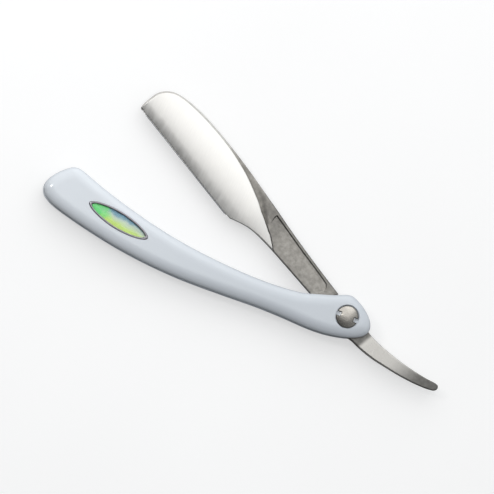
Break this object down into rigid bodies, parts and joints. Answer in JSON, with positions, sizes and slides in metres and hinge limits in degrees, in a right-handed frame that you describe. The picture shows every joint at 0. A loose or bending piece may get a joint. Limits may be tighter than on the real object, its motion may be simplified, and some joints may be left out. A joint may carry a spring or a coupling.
{
  "type": "folding straight razor",
  "caption": "Folding barber's straight razor: glossy two-scale handle, pivoting steel shank with crossed leaves, clamping head for a slide-in blade, curved tail.",
  "frame": {"origin": "pivot axis at the razor's resting plane, on the flat face of the barrel nut's flange", "axes": "+Z along the pivot axis out of the front scale, -X along the handle towards its far end, +Y towards the side on which the blade unit stands open"},
  "size_m": [0.1829, 0.0701, 0.0114],
  "materials": {
    "handle_plastic": "glossy moulded plastic, pale lavender white",
    "pin_steel": "ground",
    "badge_metal": "polished rim",
    "badge_foil": "metallic green to yellow to blue colour shift, no lettering",
    "badge_resin": "clear domed resin",
    "screw_steel": "satin turned",
    "bearing_brass": "turned",
    "blade_unit_steel": "bead blasted and satin brushed",
    "head_steel": "satin polished",
    "razor_steel": "ground and honed edge"
  },
  "bodies": {
    "handle": {"front_scale": "handle_plastic", "back_scale": "handle_plastic", "end_spacer": "handle_plastic", "spacer_dowels": "pin_steel", "stop_pin": "pin_steel", "badge_bezel": "badge_metal", "badge_plate": "badge_foil", "badge_dome": "badge_resin", "pivot_screw": "screw_steel", "barrel_nut": "screw_steel", "spring_washer": "pin_steel", "front_washer": "bearing_brass", "back_washer": "bearing_brass"},
    "tang": {"tang": "blade_unit_steel", "tang_bush": "bearing_brass"},
    "front_jaw": {"front_jaw": "head_steel"},
    "back_jaw": {"back_jaw": "blade_unit_steel"},
    "razor_blade": {"razor_blade": "razor_steel"}
  },
  "joints": [
    {"name": "blade_pivot", "type": "hinge", "parent": "handle", "child": "tang", "pos_m": [0, 0, 0.0055], "axis": [0, 0, -1], "range_deg": [-25.2, 205]},
    {"name": "front_jaw_flex", "type": "hinge", "parent": "tang", "child": "front_jaw", "pos_m": [-0.00848, 0.00428, 0.00427], "axis": [0.4509, 0.8926, 0], "range_deg": [0, 0.42], "stiffness_Nm_per_rad": 20, "springref_deg": -0.29},
    {"name": "back_jaw_flex", "type": "hinge", "parent": "tang", "child": "back_jaw", "pos_m": [-0.00848, 0.00428, 0.00673], "axis": [-0.4509, -0.8926, 0], "range_deg": [0, 0.42], "stiffness_Nm_per_rad": 20, "springref_deg": -0.29},
    {"name": "blade_slide", "type": "slide", "parent": "back_jaw", "child": "razor_blade", "axis": [-0.4626, -0.8866, 0], "range_m": [0, 0.0085]}
  ],
  "couplings": [
    {"joint": "back_jaw_flex", "follows": "front_jaw_flex", "ratio": 1}
  ]
}
